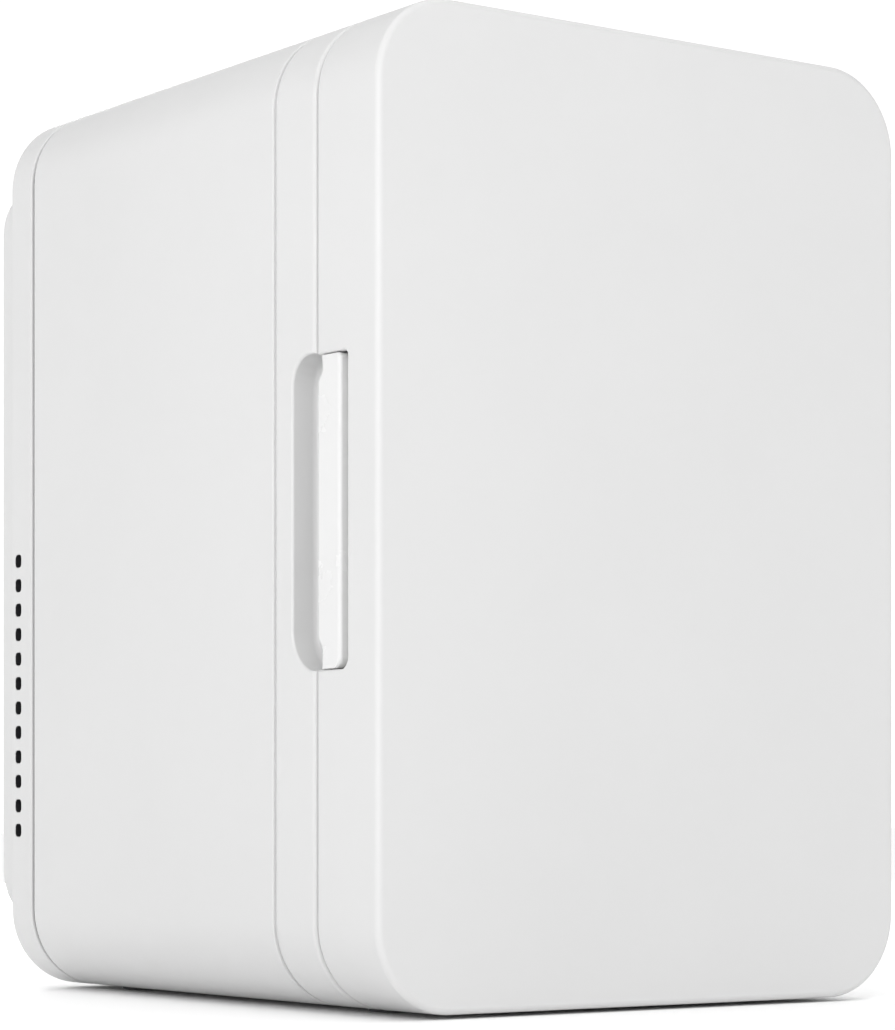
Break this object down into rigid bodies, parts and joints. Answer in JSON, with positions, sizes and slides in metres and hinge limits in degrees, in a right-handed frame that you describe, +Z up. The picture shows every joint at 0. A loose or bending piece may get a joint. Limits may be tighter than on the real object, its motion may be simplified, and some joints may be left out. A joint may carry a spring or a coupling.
{
  "type": "mini fridge",
  "caption": "Small upright thermoelectric fridge with rounded edges, a hinged front door with a side grip, a shelf, door racks and a finned, fan-cooled unit at the back.",
  "frame": {"origin": "on the floor, under the middle of the fridge", "axes": "+Z up, -Y out of the door's front, +X towards the hinge side"},
  "size_m": [0.231, 0.268, 0.34],
  "materials": {
    "white_plastic": "satin",
    "bright_plastic": "gloss",
    "liner_plastic": "satin",
    "clear_plastic": "gloss",
    "foam": "matte",
    "gasket_rubber": "matte",
    "foot_rubber": "matte",
    "black_plastic": "satin",
    "aluminium": "satin",
    "ceramic": "matte",
    "steel": "satin",
    "brass": "satin",
    "circuit_board": "satin",
    "copper_winding": "satin",
    "wire_sleeve": "satin",
    "led_lens": "gloss",
    "magnet": "satin",
    "hinge_plastic": "satin"
  },
  "bodies": {
    "cabinet": {"body_shell": "white_plastic", "front_frame": "white_plastic", "rear_cover": "white_plastic", "rear_panel": "white_plastic", "inner_liner": "liner_plastic", "body_foam": "foam", "shelf_ledges": "liner_plastic", "shelf": "clear_plastic", "cold_heatsink": "aluminium", "cold_block": "aluminium", "peltier_module": "ceramic", "module_seal": "foot_rubber", "hot_heatsink": "aluminium", "heatsink_screws": "steel", "cold_fan_cover": "liner_plastic", "cold_fan_frame": "black_plastic", "cold_fan_screws": "steel", "hot_fan_frame": "black_plastic", "hot_fan_screws": "steel", "power_board": "circuit_board", "transformer": "copper_winding", "board_parts": "black_plastic", "board_screws": "steel", "wiring": "wire_sleeve", "ac_inlet": "black_plastic", "ac_pins": "steel", "dc_inlet": "black_plastic", "dc_pins": "brass", "switch_housing": "black_plastic", "status_leds": "led_lens", "strike_plates": "steel", "cover_screws": "steel", "panel_screws": "steel", "foot_front_left": "foot_rubber", "foot_front_right": "foot_rubber", "foot_rear_left": "foot_rubber", "foot_rear_right": "foot_rubber", "handle_tray": "white_plastic", "handle_pins": "steel", "hinge_bracket_upper": "steel", "hinge_bracket_lower": "steel", "hinge_pin_upper": "steel", "hinge_pin_lower": "steel", "hinge_screws": "steel"},
    "door": {"door_shell": "white_plastic", "door_liner": "liner_plastic", "door_foam": "foam", "door_gasket": "gasket_rubber", "door_grip": "bright_plastic", "door_rack_upper": "clear_plastic", "door_rack_lower": "clear_plastic", "door_magnets": "magnet", "hinge_block_upper": "hinge_plastic", "hinge_block_lower": "hinge_plastic", "door_screws": "steel"},
    "carry_handle": {"carry_handle": "bright_plastic"},
    "mode_rocker": {"mode_rocker": "black_plastic"},
    "hot_fan_rotor": {"hot_fan_rotor": "black_plastic"},
    "cold_fan_rotor": {"cold_fan_rotor": "black_plastic"}
  },
  "joints": [
    {"name": "door_hinge", "type": "hinge", "parent": "cabinet", "child": "door", "pos_m": [0.1085, -0.1155, 0.17075], "axis": [0, 0, 1], "range_deg": [0, 110]},
    {"name": "carry_handle_fold", "type": "hinge", "parent": "cabinet", "child": "carry_handle", "pos_m": [0, 0.03135, 0.3351], "axis": [-1, 0, 0], "range_deg": [0, 90]},
    {"name": "mode_switch", "type": "hinge", "parent": "cabinet", "child": "mode_rocker", "pos_m": [0.034, 0.1248, 0.047], "axis": [1, 0, 0], "range_deg": [-12, 12]},
    {"name": "hot_fan_spin", "type": "hinge", "parent": "cabinet", "child": "hot_fan_rotor", "pos_m": [0, 0.122, 0.1139], "axis": [0, 1, 0], "continuous": true},
    {"name": "cold_fan_spin", "type": "hinge", "parent": "cabinet", "child": "cold_fan_rotor", "pos_m": [0, 0.05, 0.1139], "axis": [0, 1, 0], "continuous": true}
  ]
}
